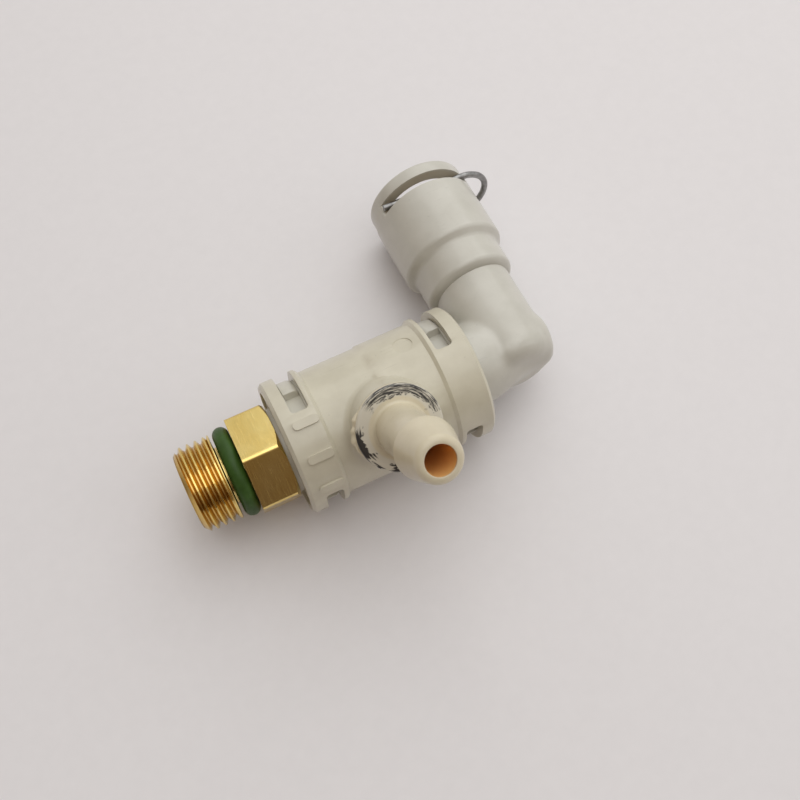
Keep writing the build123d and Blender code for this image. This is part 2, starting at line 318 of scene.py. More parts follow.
noiseMiddle = (0.3, 0.7)  # where most of a noise texture's values lie
grainSizes = {"cloudSize": 400.0, "grainSize": 4000.0, "speckSize": 2600.0}
speckRange = (0.74, 0.8)
scratchLook = {
    "turn": (0.3, 0.5, 0.8), "stretch": (300, 4200, 4200), "lineRange": (0.64, 0.72),
    "patchSize": 260.0, "patchRange": (0.5, 0.62), "amount": 0.3,
}


def mouldGrainGroup():
    # cloudy tone, fine grain and sparse dark specks
    group, entry, leave = newGroup("mouldGrain", grainSizes, ["cloud", "grain", "specks"])
    vector = entry.outputs["Vector"]
    group.links.new(noiseNode(group, vector, entry.outputs["cloudSize"], 4), leave.inputs["cloud"])
    group.links.new(noiseNode(group, vector, entry.outputs["grainSize"], 2), leave.inputs["grain"])
    specks = rangeNode(group, noiseNode(group, vector, entry.outputs["speckSize"], 1), *speckRange)
    group.links.new(specks, leave.inputs["specks"])
    return group


def scuffGroup(look):
    # thin handling scratches that run one way, in patches
    group, entry, leave = newGroup("scuffs", {"amount": look["amount"]}, ["mask"])
    stretch = group.nodes.new("ShaderNodeMapping")
    stretch.inputs["Rotation"].default_value = look["turn"]
    stretch.inputs["Scale"].default_value = look["stretch"]
    group.links.new(entry.outputs["Vector"], stretch.inputs["Vector"])
    lines = rangeNode(group, noiseNode(group, stretch.outputs["Vector"], 1.0, 2), *look["lineRange"])
    patchNoise = noiseNode(group, entry.outputs["Vector"], look["patchSize"], 2)
    patches = rangeNode(group, patchNoise, *look["patchRange"])
    group.links.new(product(group, lines, patches, entry.outputs["amount"]), leave.inputs["mask"])
    return group


mouldGrain = mouldGrainGroup()
scuffs = scuffGroup(scratchLook)


# finishes

def newMaterial(name, roughness, metallic=0.0):
    material = bpy.data.materials.new(name)
    material.use_nodes = True
    tree = material.node_tree
    tree.nodes.clear()
    output = tree.nodes.new("ShaderNodeOutputMaterial")
    shader = tree.nodes.new("ShaderNodeBsdfPrincipled")
    shader.inputs["Roughness"].default_value = roughness
    shader.inputs["Metallic"].default_value = metallic
    tree.links.new(shader.outputs["BSDF"], output.inputs["Surface"])
    place = tree.nodes.new("ShaderNodeTexCoord").outputs["Object"]
    return material, tree, shader, place


def bumped(tree, shader, height, look):
    bump = tree.nodes.new("ShaderNodeBump")
    bump.inputs["Strength"].default_value = look["bump"]
    bump.inputs["Distance"].default_value = look["bumpDepth"]
    tree.links.new(height, bump.inputs["Height"])
    tree.links.new(bump.outputs["Normal"], shader.inputs["Normal"])


def grainOf(tree, place, look):
    return placedGroup(tree, mouldGrain, place, cloudSize=look["cloudSize"], grainSize=look["grainSize"])


def scuffsOf(tree, place, look):
    return placedGroup(tree, scuffs, place, amount=look["scuffs"])["mask"]


def roundAxis(tree, place, axisX, turn):
    # millimetres about an axis through (axisX, 0, 0) that is turned about X, in parts and as a whole
    local = tree.nodes.new("ShaderNodeMapping")
    local.vector_type = "TEXTURE"
    local.inputs["Location"].default_value = (axisX * toMetres, 0, 0)
    local.inputs["Rotation"].default_value = (turn, 0, 0)
    local.inputs["Scale"].default_value = (toMetres, toMetres, toMetres)
    tree.links.new(place, local.inputs["Vector"])
    parts = tree.nodes.new("ShaderNodeSeparateXYZ")
    tree.links.new(local.outputs["Vector"], parts.inputs["Vector"])
    return parts.outputs, local.outputs["Vector"]


def distance(tree, first, second):
    squares = [mathNode(tree, "MULTIPLY", part, part) for part in (first, second)]
    return mathNode(tree, "SQRT", mathNode(tree, "ADD", *squares))


mouldFinish = {
    "cloudSize": 330.0, "cloudRange": (0.35, 0.68), "grainSize": 5200.0, "shineSpread": 0.05,
    "scuffs": 0.25, "scuffShade": 0.75, "scuffDulls": 0.3, "specks": 0.18, "speckShade": 0.45,
    "bump": 0.04, "bumpDepth": 0.00004, "coat": 0.4, "coatRoughness": 0.14,
}


def mouldedPlastic(look):
    # gives the colour before it reaches the shader, so that a piece can add its own marks
    finish = mouldFinish
    material, tree, shader, place = newMaterial(look["name"], look["roughness"])
    shader.inputs["Coat Weight"].default_value = finish["coat"]
    shader.inputs["Coat Roughness"].default_value = finish["coatRoughness"]
    grain = grainOf(tree, place, finish)
    marks = scuffsOf(tree, place, finish)
    cloud = rangeNode(tree, grain["cloud"], *finish["cloudRange"])
    tone = mixNode(tree, cloud, look["dark"], look["light"])
    speckled = mixNode(tree, product(tree, grain["specks"], finish["specks"]), tone,
                       shaded(look["dark"], finish["speckShade"]))
    colour = mixNode(tree, marks, speckled, shaded(look["dark"], finish["scuffShade"]))
    tree.links.new(colour, shader.inputs["Base Color"])
    shine = rangeNode(tree, grain["grain"], *noiseMiddle, look["roughness"] - finish["shineSpread"],
                      look["roughness"] + finish["shineSpread"])
    dulled = mathNode(tree, "ADD", shine, product(tree, marks, finish["scuffDulls"]))
    tree.links.new(dulled, shader.inputs["Roughness"])
    bumped(tree, shader, grain["grain"], finish)
    return material, tree, shader, place, colour


whiteLook = {
    "name": "whiteMoulding", "light": (0.62, 0.595, 0.51, 1), "dark": (0.56, 0.535, 0.45, 1),
    "roughness": 0.40,
}
# the step values give a painted brownish shade round the small step of the tube
ivoryLook = {
    "name": "ivoryMoulding", "light": (0.60, 0.56, 0.44, 1), "dark": (0.545, 0.505, 0.39, 1),
    "roughness": 0.34, "paintedStepShade": (0.44, 0.385, 0.28, 1), "stepShadeAt": (0.1, 1.0), "stepShadeFade": 0.35,
    "stepShadeSize": 0.35, "stepShadeRange": (0.42, 0.6), "stepShadeShare": 0.55,
}


def ivoryPlastic(look):
    # a brownish painted shade runs round the small step of the tube, in patches, where its ramp lies in shade
    material, tree, shader, place, colour = mouldedPlastic(look)
    parts, local = roundAxis(tree, place, barbX, roll)
    patches = rangeNode(tree, noiseNode(tree, local, look["stepShadeSize"]), *look["stepShadeRange"])
    atStep = band(tree, parts["X"], *look["stepShadeAt"], look["stepShadeFade"])
    paintedStepShade = product(tree, atStep, patches, look["stepShadeShare"])
    tree.links.new(mixNode(tree, paintedStepShade, colour, look["paintedStepShade"]), shader.inputs["Base Color"])
    return material


# the slot values paint a brown shade inside the clip slots
greyWhiteLook = {
    "name": "greyWhiteMoulding", "light": (0.57, 0.55, 0.485, 1), "dark": (0.522, 0.502, 0.437, 1),
    "roughness": 0.34, "paintedSlotShade": (0.52, 0.43, 0.29, 1), "slotDepths": (0.1, 0.6), "slotFade": 0.05,
}


def elbowPlastic(look, slotMiddle, slotWidth, skinR):
    # the cut faces of the clip slots get a painted brown shade, standing in for the shade inside the slots
    material, tree, shader, place, colour = mouldedPlastic(look)
    parts = roundAxis(tree, place, armX, droop)[0]
    radius = distance(tree, parts["X"], parts["Z"])
    inside = rangeNode(tree, radius, *(skinR - depth for depth in look["slotDepths"]))
    ends = (slotMiddle - slotWidth / 2, slotMiddle + slotWidth / 2)
    atSlot = band(tree, parts["Y"], *ends, look["slotFade"])
    slotShadeMask = product(tree, atSlot, inside)
    tree.links.new(mixNode(tree, slotShadeMask, colour, look["paintedSlotShade"]), shader.inputs["Base Color"])
    return material


creamLook = {
    "name": "creamTail", "light": (0.67, 0.60, 0.44, 1), "dark": (0.61, 0.54, 0.385, 1),
    "roughness": 0.33, "bore": (0.95, 0.56, 0.20, 1), "boreEdge": (0.1, 0.02), "boreTop": (0.05, 0.3),
    "disc": (0.62, 0.59, 0.51, 1), "discR": (3.25, 3.45), "discShare": 0.7,
    "ink": (0.018, 0.016, 0.016, 1), "inkShare": 0.98, "inkHeights": (-0.25, 0.1), "heightFade": 0.08,
    "streaksAround": 0.05, "streaksAcross": 7.0, "streakRough": 0.6, "wanderSize": 1.1, "frayTurn": 9,
}
# each stroke spans some degrees of the shoulder, from innerR outwards, and shows where the streaks let it
inkStrokes = [
    {"span": (2, 126), "fade": 4, "innerR": 3.45, "innerFade": 0.2, "wander": 0.5, "streaks": (0.38, 0.54)},
    {"span": (160, 203), "fade": 3, "innerR": 3.85, "innerFade": 0.15, "wander": 0.5, "streaks": (-1, 0)},
    {"span": (212, 224), "fade": 2, "innerR": 4.3, "innerFade": 0.08, "wander": 0, "streaks": (-1, 0)},
    {"span": (238, 256), "fade": 2, "innerR": 3.65, "innerFade": 0.15, "wander": 0.5,
     "streaks": (0.36, 0.44)},
]


def inkMask(tree, look, parts, radius, local):
    # strokes that run round the shoulder, torn along their length and frayed at their ends
    degrees = mathNode(tree, "MULTIPLY", mathNode(tree, "ARCTAN2", parts["Y"], parts["X"]),
                       math.degrees(1))
    turn = mathNode(tree, "FLOORED_MODULO", degrees, 360)
    polar = tree.nodes.new("ShaderNodeCombineXYZ")
    tree.links.new(product(tree, turn, look["streaksAround"]), polar.inputs["X"])
    tree.links.new(product(tree, radius, look["streaksAcross"]), polar.inputs["Y"])
    streaks = noiseNode(tree, polar.outputs["Vector"], 1.0, 3, look["streakRough"])
    wander = rangeNode(tree, noiseNode(tree, local, look["wanderSize"]), *noiseMiddle, -1, 1)
    fray = rangeNode(tree, streaks, *noiseMiddle, -look["frayTurn"], look["frayTurn"])
    frayed = mathNode(tree, "ADD", turn, fray)
    mask = 0
    for stroke in inkStrokes:
        reach = mathNode(tree, "ADD", radius, product(tree, wander, stroke["wander"]))
        across = rangeNode(tree, reach, stroke["innerR"], stroke["innerR"] + stroke["innerFade"])
        torn = rangeNode(tree, streaks, *stroke["streaks"])
        along = band(tree, frayed, *stroke["span"], stroke["fade"])
        mask = mathNode(tree, "MAXIMUM", product(tree, along, across, torn), mask)
    return mask


def creamPlastic(look, shoulder, boreR, tipHeight):
    # a pale welded disc with smeared ink, and a painted warm glow of light down the bore
    material, tree, shader, place, colour = mouldedPlastic(look)
    parts, local = roundAxis(tree, place, barbX, roll)
    radius = distance(tree, parts["X"], parts["Y"])
    strokes = inkMask(tree, look, parts, radius, local)
    heights = [shoulder + height for height in look["inkHeights"]]
    onTop = band(tree, parts["Z"], *heights, look["heightFade"])
    disc = product(tree, onTop, rangeNode(tree, radius, *look["discR"]), look["discShare"])
    inked = mixNode(tree, product(tree, strokes, onTop, look["inkShare"]),
                    mixNode(tree, disc, colour, look["disc"]), look["ink"])
    # painted glow: warm light through the plastic, down the bore
    inBore = product(tree, rangeNode(tree, radius, *(boreR + edge for edge in look["boreEdge"])),
                     rangeNode(tree, parts["Z"], *(tipHeight - depth for depth in look["boreTop"])))
    tree.links.new(mixNode(tree, inBore, inked, look["bore"]), shader.inputs["Base Color"])
    return material


brassLook = {
    "light": (0.84, 0.655, 0.26, 1), "dark": (0.78, 0.57, 0.19, 1), "root": (0.60, 0.39, 0.12, 1),
    "rootFade": 0.1, "cloudSize": 260.0, "cloudRange": (0.35, 0.65), "grainSize": 6000.0, "scuffs": 0.4,
    "scuffShade": 0.6, "latheMarks": (16000, 500, 500), "smoothest": 0.15, "roughest": 0.28,
    "bump": 0.12, "bumpDepth": 0.00003,
}


def turnedBrass(look, rootR, crestR, threadEnd):
    # tool marks lie close together along the valve, and the roots of the thread are browner
    material, tree, shader, place = newMaterial("turnedBrass", look["smoothest"], 1.0)
    grain = grainOf(tree, place, look)
    marks = scuffsOf(tree, place, look)
    lathe = tree.nodes.new("ShaderNodeMapping")
    lathe.inputs["Scale"].default_value = look["latheMarks"]
    tree.links.new(place, lathe.inputs["Vector"])
    rings = noiseNode(tree, lathe.outputs["Vector"], 1.0, 2)
    tone = mixNode(tree, rangeNode(tree, grain["cloud"], *look["cloudRange"]), look["dark"], look["light"])
    parts = roundAxis(tree, place, 0, 0)[0]
    roots = product(tree, rangeNode(tree, distance(tree, parts["Y"], parts["Z"]), crestR, rootR),
                    rangeNode(tree, parts["X"], threadEnd + look["rootFade"], threadEnd - look["rootFade"]))
    scuffed = mixNode(tree, marks, tone, shaded(look["dark"], look["scuffShade"]))
    tree.links.new(mixNode(tree, roots, scuffed, look["root"]), shader.inputs["Base Color"])
    shine = rangeNode(tree, rings, *noiseMiddle, look["smoothest"], look["roughest"])
    tree.links.new(shine, shader.inputs["Roughness"])
    bumped(tree, shader, rings, look)
    return material


rubberLook = {
    "cloudSize": 900.0, "cloudRange": (0.35, 0.7), "grainSize": 7000.0, "smoothest": 0.36, "roughest": 0.56,
    "bump": 0.2, "bumpDepth": 0.00004, "specular": 0.25,
}


def sealRubber(name, light, dark):
    look = rubberLook
    material, tree, shader, place = newMaterial(name, look["smoothest"])
    shader.inputs["Specular IOR Level"].default_value = look["specular"]
    grain = grainOf(tree, place, look)
    tone = mixNode(tree, rangeNode(tree, grain["cloud"], *look["cloudRange"]), dark, light)
    tree.links.new(tone, shader.inputs["Base Color"])
    shine = rangeNode(tree, grain["grain"], *noiseMiddle, look["smoothest"], look["roughest"])
    tree.links.new(shine, shader.inputs["Roughness"])
    bumped(tree, shader, grain["grain"], look)
    return material


steelLook = {
    "light": (0.36, 0.355, 0.345, 1), "dark": (0.22, 0.215, 0.21, 1), "cloudSize": 1500.0,
    "cloudRange": (0.35, 0.65), "grainSize": 7000.0, "scuffs": 0.6, "smoothest": 0.27, "roughest": 0.43,
    "bump": 0.15, "bumpDepth": 0.00003,
}


def springSteel(look):
    material, tree, shader, place = newMaterial("springSteel", look["smoothest"], 1.0)
    marks = scuffsOf(tree, place, look)
    grain = grainOf(tree, place, look)
    tone = mixNode(tree, rangeNode(tree, grain["cloud"], *look["cloudRange"]), look["dark"], look["light"])
    tree.links.new(mixNode(tree, marks, tone, look["dark"]), shader.inputs["Base Color"])
    shine = rangeNode(tree, grain["grain"], *noiseMiddle, look["smoothest"], look["roughest"])
    tree.links.new(shine, shader.inputs["Roughness"])
    bumped(tree, shader, grain["grain"], look)
    return material


white = mouldedPlastic(whiteLook)[0]
greenRubber = sealRubber("greenRubber", (0.046, 0.105, 0.018, 1), (0.032, 0.074, 0.011, 1))
blackRubber = sealRubber("blackRubber", (0.022, 0.022, 0.022, 1), (0.012, 0.012, 0.012, 1))
steel = springSteel(steelLook)
print("finishes ready")


# brass inlet

brassInlet = {
    "tipX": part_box("inlet_fitting")[0].x / toMetres, "shankEnd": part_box("inlet_fitting")[1].x / toMetres,
    "crestR": mounts["inlet_thread"]["dims"]["r_mm"], "rootR": 4.29, "pitch": 0.907, "crestFlat": 0.16,
    "footShare": 0.92, "sunk": 0.06, "threadEnd": 1.8, "endBand": 0.32, "chamfer": 0.7, "neckR": 3.3,
    "boreR": 2.0, "boreRound": 0.3, "shankR": 3.9, "hexX": 4.0, "hexEnd": 8.4, "hexFlats": 10.5,
    "hexTurn": 44.6, "hexChamfer": 0.5, "cornerRound": 0.3, "cornerSteps": 3, "beyond": 1.0, "edge": 0.1,
    "sharpest": 38, "smoothAngle": 30, "stepsPerTurn": 60,
}


def threadRidge(size):
    # one ridge section, screwed along the valve, then trimmed to the chamfered length
    bm = bmesh.new()
    pitch = size["pitch"]
    halfFoot = size["footShare"] * pitch / 2
    halfCrest = size["crestFlat"] / 2
    sunkR = size["rootR"] - size["sunk"]
    section = ((-halfFoot, sunkR), (-halfCrest, size["crestR"]),
               (halfCrest, size["crestR"]), (halfFoot, sunkR))
    startX = size["tipX"] - pitch
    endX = size["threadEnd"] - size["endBand"] / 2
    corners = [bm.verts.new((startX + along, radius, 0)) for along, radius in section]
    for start, end in zip(corners, corners[1:] + corners[:1]):
        bm.edges.new((start, end))
    turns = math.ceil((endX - startX) / pitch) + 1
    bmesh.ops.spin(bm, geom=bm.verts[:] + bm.edges[:], cent=(0, 0, 0), axis=(1, 0, 0),
                   dvec=(pitch / size["stepsPerTurn"], 0, 0), angle=turns * 2 * math.pi,
                   steps=turns * size["stepsPerTurn"], use_merge=False, use_duplicate=False)
    closeEnds(bm)
    bmesh.ops.recalc_face_normals(bm, faces=bm.faces)
    tipR = size["crestR"] - size["chamfer"]
    envelope = turnedShape("X", [
        (size["tipX"], tipR - size["edge"]),
        (size["tipX"], tipR),
        (size["tipX"] + size["chamfer"], size["crestR"]),
        (endX, size["crestR"]),
        (endX, tipR - size["edge"]),
    ], ring=True)
    return carved(bm, "INTERSECT", envelope)


def hexagon(size):
    cornerR = size["hexFlats"] / math.sqrt(3)
    nut = bmesh.new()
    bmesh.ops.create_circle(nut, cap_ends=True, segments=6, radius=cornerR,
                            matrix=Matrix.Translation((size["hexX"], 0, 0))
                            @ Matrix.Rotation(math.pi / 2, 4, "Y"))
    first = min(nut.verts, key=lambda vert: abs(math.atan2(vert.co.z, vert.co.y)))
    turn = math.radians(size["hexTurn"]) - math.atan2(first.co.z, first.co.y)
    bmesh.ops.rotate(nut, verts=nut.verts, cent=(0, 0, 0), matrix=Matrix.Rotation(turn, 3, "X"))
    grown = bmesh.ops.extrude_face_region(nut, geom=nut.faces[:])
    bmesh.ops.translate(nut, verts=[item for item in grown["geom"] if isinstance(item, bmesh.types.BMVert)],
                        vec=(size["hexEnd"] - size["hexX"], 0, 0))
    bmesh.ops.recalc_face_normals(nut, faces=nut.faces)
    along = [edge for edge in nut.edges if abs(edge.verts[0].co.x - edge.verts[1].co.x) > size["edge"]]
    bevelled(nut, along, size["cornerRound"], size["cornerSteps"])
    spare = size["edge"] / 2
    envelope = turnedShape("X", [
        (size["hexX"] - size["beyond"], 0),
        (size["hexX"] - size["beyond"], cornerR + size["beyond"]),
        (size["hexEnd"] - size["hexChamfer"], cornerR + spare),
        (size["hexEnd"] + spare, size["hexFlats"] / 2),
        (size["hexEnd"] + spare, 0),
    ])
    return softened(carved(nut, "INTERSECT", envelope), size["edge"], size["sharpest"])


def makeBrassInlet(size):
    brass = turnedBrass(brassLook, size["rootR"], size["crestR"], size["threadEnd"])
    tipR = size["crestR"] - size["chamfer"]
    bandX = size["threadEnd"] - size["endBand"]
    middle = (size["hexX"] + size["hexEnd"]) / 2
    stem = turnedShape("X", [
        (size["tipX"], size["boreR"], size["boreRound"]),
        (size["tipX"], tipR, size["edge"]),
        (size["tipX"] + size["rootR"] - tipR, size["rootR"]),
        (bandX, size["rootR"]),
        (bandX + size["edge"], size["crestR"], size["edge"]),
        (size["threadEnd"], size["crestR"], size["edge"]),
        (size["threadEnd"], size["neckR"], size["edge"]),
        (middle, size["neckR"]),
        (middle, size["shankR"]),
        (size["shankEnd"], size["shankR"], size["boreRound"]),
        (size["shankEnd"], size["boreR"]),
    ], ring=True)
    whole = joined(carved(stem, "UNION", hexagon(size)), threadRidge(size))
    return finishedPiece(whole, "brassInlet", "inlet", "inlet_fitting", brass,
                         smoothAngle=size["smoothAngle"])


makeBrassInlet(brassInlet)


# rubber ring behind the thread

faceSeal = {"middleX": 3.05, "ringR": 4.25, "sectionR": 0.92, "around": 96, "section": 28}


def makeFaceSeal(size):
    bm = bmesh.new()
    bmesh.ops.create_circle(bm, segments=size["section"], radius=size["sectionR"],
                            matrix=Matrix.Translation((size["middleX"], size["ringR"], 0)))
    bmesh.ops.spin(bm, geom=bm.verts[:] + bm.edges[:], cent=(0, 0, 0), axis=(1, 0, 0), dvec=(0, 0, 0),
                   angle=2 * math.pi, steps=size["around"], use_merge=True, use_duplicate=False)
    bmesh.ops.remove_doubles(bm, verts=bm.verts, dist=mergeGap)
    bmesh.ops.recalc_face_normals(bm, faces=bm.faces)
    return finishedPiece(bm, "faceSeal", "inlet", "inlet_face_seal", greenRubber)


makeFaceSeal(faceSeal)


# snap plug that both ends share, and the inlet plug behind the first collar

snapPlug = {
    "noseStart": 4.5, "noseR": 5.04, "noseRound": 0.25, "grooveNear": 4.975, "grooveFar": 6.675,
    "grooveR": 3.79, "coreStart": 7.15, "coreR": 6.66, "coreEnd": 10.75, "coreRound": 0.15,
    "snapGrooveR": 6.06, "lugNear": 7.5, "lugFar": 9.2, "lugRamp": 0.5, "lugHeight": 0.25,
    "lugHalfAngle": 24, "lugSunk": 0.3, "lugSteps": 16, "edge": 0.1, "sharpest": 30,
}
inletPlug = {"hubR": 4.9, "hubEnd": 11.45, "shankR": 3.93, "shankFloor": 7.62, "boreR": 2.0}


def plugRows(size):
    return [
        (size["noseStart"], size["noseR"], size["noseRound"]),
        (size["grooveNear"], size["noseR"]),
        (size["grooveNear"], size["grooveR"]),
        (size["grooveFar"], size["grooveR"]),
        (size["grooveFar"], size["noseR"]),
        (size["coreStart"], size["noseR"]),
        (size["coreStart"], size["coreR"], size["coreRound"]),
        (size["lugNear"], size["coreR"]),
        (size["lugNear"], size["snapGrooveR"]),
        (size["lugFar"], size["snapGrooveR"]),
        (size["lugFar"], size["coreR"]),
        (size["coreEnd"], size["coreR"], size["coreRound"]),
    ]


def snapLugs(size, turn=0.0):
    lugs = []
    topR = size["coreR"] + size["lugHeight"]
    footR = size["snapGrooveR"] - size["lugSunk"]
    for side in (0, math.pi):
        lug = turnedShape("X", [
            (size["lugNear"], footR),
            (size["lugNear"], size["coreR"]),
            (size["lugNear"] + size["lugRamp"], topR),
            (size["lugFar"], topR),
            (size["lugFar"], footR),
        ], ring=True, steps=size["lugSteps"], sweep=2 * size["lugHalfAngle"])
        rounded = softened(lug, size["edge"], size["sharpest"])
        lugs.append(moved(rounded, Matrix.Rotation(turn + side, 4, "X")))
    return lugs


def makeInletPlug(plug, size):
    rows = [(size["noseStart"], plug["boreR"])] + plugRows(size) + [
        (size["coreEnd"], plug["hubR"], size["edge"]),
        (plug["hubEnd"], plug["hubR"], size["edge"]),
        (plug["hubEnd"], plug["shankR"]),
        (plug["shankFloor"], plug["shankR"]),
        (plug["shankFloor"], plug["boreR"]),
    ]
    whole = joined(turnedShape("X", rows, ring=True), *snapLugs(size))
    place = onBarb @ Matrix.Rotation(math.pi, 4, "Z")
    return finishedPiece(whole, "inletPlug", "inlet", "inlet_plug", white, place)


makeInletPlug(inletPlug, snapPlug)


# moulded body, with its raised bars worn soft

mouldedBody = {
    "edge": 0.09, "sharpest": 40, "smoothAngle": 50, "collarR": 7.7, "barRise": 0.095, "barsFrom": 0.5,
    "barSmoothing": 0.3,
}


def makeMouldedBody(size):
    bm = softened(moved(copiedNode("valve_body"), onBarb.inverted()), size["edge"], size["sharpest"])
    lowest = size["collarR"] + size["barRise"]
    collarEnds = [abs(limit.x / toMetres - barbX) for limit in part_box("valve_body")]
    nearest = -size["barsFrom"] * max(collarEnds)
    proud = [vert for vert in bm.verts if math.hypot(vert.co.y, vert.co.z) > lowest and vert.co.x < nearest]
    smoothed(bm, proud, size["barSmoothing"])
    ivory = ivoryPlastic(ivoryLook)
    return finishedPiece(bm, "mouldedBody", "body", "valve_body", ivory, onBarb,
                         smoothAngle=size["smoothAngle"])


makeMouldedBody(mouldedBody)


# hose tail, with the ragged bead where it was welded on

hoseTail = {
    "seat": 8.5, "spigotR": 2.87, "weld": 9.5, "flangeR": 4.67, "shoulder": 10.3, "neckR": 2.65,
    "ridgeBack": 19.2, "ridgeR": 3.2, "tip": 23.9, "tipR": 2.3, "boreR": 1.54, "edge": 0.12,
    "flangeRound": 0.24, "neckRound": 0.36, "tipRound": 0.6, "boreRound": 0.06, "around": 112,
}
weldBead = {
    "middle": 166, "spread": 78, "sectionR": 0.62, "sunk": 0.2, "flatness": 0.55, "steps": 120,
    "section": 14, "ragged": 0.55, "lumps": 3.5, "lumpSeed": (2.3, 0.4), "crumbs": 8,
    "crumbSeed": (5.1, 1.7), "crumbShare": 0.6, "thinnest": 0.15,
}


def makeWeldBead(size, tail):
    # a thin ring of squeezed-out plastic, pushed about by noise and thinned at its ends
    bead = bmesh.new()
    bmesh.ops.create_circle(bead, segments=size["section"], radius=size["sectionR"],
                            matrix=Matrix.Translation((tail["flangeR"] - size["sunk"], 0, tail["weld"]))
                            @ Matrix.Rotation(math.pi / 2, 4, "X"))
    half = math.radians(size["spread"] / 2)
    bmesh.ops.spin(bead, geom=bead.verts[:] + bead.edges[:], cent=(0, 0, 0), axis=(0, 0, 1), dvec=(0, 0, 0),
                   angle=2 * half, steps=size["steps"], use_merge=False, use_duplicate=False)
    closeEnds(bead)
    bmesh.ops.rotate(bead, verts=bead.verts, cent=(0, 0, 0), matrix=Matrix.Rotation(-half, 3, "Z"))
    for vert in bead.verts:
        turn = math.atan2(vert.co.y, vert.co.x)
        reach = math.hypot(vert.co.x, vert.co.y)
        lumps = noise.noise((turn * size["lumps"], *size["lumpSeed"]))
        crumbs = size["crumbShare"] * noise.noise((turn * size["crumbs"], *size["crumbSeed"]))
        swell = (1 + size["ragged"] * (lumps + crumbs)) * max(size["thinnest"], 1 - (turn / half) ** 2)
        wanted = tail["flangeR"] - size["sunk"] + (reach - tail["flangeR"] + size["sunk"]) * swell
        vert.co.x *= wanted / reach
        vert.co.y *= wanted / reach
        vert.co.z = tail["weld"] + (vert.co.z - tail["weld"]) * swell * size["flatness"]
    bmesh.ops.recalc_face_normals(bead, faces=bead.faces)
    return moved(bead, Matrix.Rotation(math.radians(size["middle"]), 4, "Z"))


def makeHoseTail(size):
    tail = turnedShape("Z", [
        (size["seat"], size["boreR"]),
        (size["seat"], size["spigotR"], size["edge"]),
        (size["weld"], size["spigotR"]),
        (size["weld"], size["flangeR"], size["edge"]),
        (size["shoulder"], size["flangeR"], size["flangeRound"]),
        (size["shoulder"], size["neckR"], size["neckRound"]),
        (size["ridgeBack"], size["neckR"], size["edge"]),
        (size["ridgeBack"], size["ridgeR"], size["edge"]),
        (size["tip"], size["tipR"], size["tipRound"]),
        (size["tip"], size["boreR"], size["boreRound"]),
    ], ring=True, steps=size["around"])
    cream = creamPlastic(creamLook, size["shoulder"], size["boreR"], size["tip"])
    whole = joined(tail, makeWeldBead(weldBead, size))
    return finishedPiece(whole, "hoseTail", "body", "hose_barb", cream, onBarb)


makeHoseTail(hoseTail)


# outlet elbow: knuckle and arm melted into one skin, then the plug and the stepped socket

elbow = {
    "flankR": 4.7, "flankEnd": 12.6, "shoulderR": 4.35, "shoulderEnd": 14.3, "knuckleR": 3.4,
    "knuckleStart": 17.6, "knuckleEnd": 21.4, "knuckleRound": 1.6, "bendRound": 0.8, "armBack": 3.3,
    "armRound": 2.1, "armR": 4.62, "armEnd": 9.05, "midR": 5.45, "midEnd": 13.25, "slope": 0.35,
    "stepRound": 0.3, "socketR": 6.3, "slotMiddle": 21.9, "slotWidth": 1.5, "slotFloor": 3.1,
    "slotLength": 18.9, "rimR": 6.15, "rimEnd": 24.3, "rimRound": 0.4, "chamberR": 2.7, "chamberEnd": 10.4,
    "passageR": 1.9, "tubeR": 4.05, "tubeFloor": 14.2, "tubeLead": 0.4, "entryR": 4.6, "entryFloor": 20.0,
    "beyond": 1.0, "edge": 0.09, "sharpest": 40, "around": 112, "boreAround": 64, "voxel": 0.14,
    "meltReach": (1.2, 0.8, 0.4), "meltRounds": 12, "meltFactor": 0.5, "evenRounds": 3,
}


def meltedKnuckle(size, plug, reach):
    # where both skins are near, the crease between them is smoothed away
    knuckle = turnedShape("X", [
        (plug["lugFar"], 0),
        (plug["lugFar"], size["flankR"]),
        (size["flankEnd"], size["flankR"], size["bendRound"]),
        (size["shoulderEnd"], size["shoulderR"], size["bendRound"]),
        (size["knuckleStart"], size["knuckleR"], size["bendRound"]),
        (size["knuckleEnd"], size["knuckleR"], size["knuckleRound"]),
        (size["knuckleEnd"], 0),
    ], steps=size["around"])
    arm = moved(turnedShape("Y", [
        (-size["armBack"], 0),
        (-size["armBack"], size["armR"], size["armRound"]),
        (size["armEnd"] + size["slope"], size["armR"]),
        (size["armEnd"] + size["slope"], 0),
    ], steps=size["around"]), Matrix.Translation((reach, 0, 0)))
    skins = [bvhtree.BVHTree.FromBMesh(shape) for shape in (knuckle, arm)]
    bm = remeshed(carved(knuckle, "UNION", arm), size["voxel"])
    gaps = {vert: max(skin.find_nearest(vert.co)[3] for skin in skins) for vert in bm.verts}
    for nearness in size["meltReach"]:
        near = [vert for vert in bm.verts if gaps[vert] < nearness]
        smoothed(bm, near, size["meltFactor"], size["meltRounds"])
    return smoothed(bm, bm.verts, size["meltFactor"], size["evenRounds"])


def waterway(size, plug, reach):
    along = turnedShape("X", [
        (plug["noseStart"] - size["beyond"], 0),
        (plug["noseStart"] - size["beyond"], size["chamberR"]),
        (size["chamberEnd"], size["chamberR"]),
        (size["chamberEnd"], size["passageR"]),
        (reach + size["passageR"], size["passageR"]),
        (reach + size["passageR"], 0),
    ], steps=size["boreAround"])
    across = moved(turnedShape("Y", [
        (0, 0),
        (0, size["passageR"]),
        (size["tubeFloor"] + size["beyond"], size["passageR"]),
        (size["tubeFloor"] + size["beyond"], 0),
    ], steps=size["boreAround"]), Matrix.Translation((reach, 0, 0)))
    return carved(along, "UNION", across)


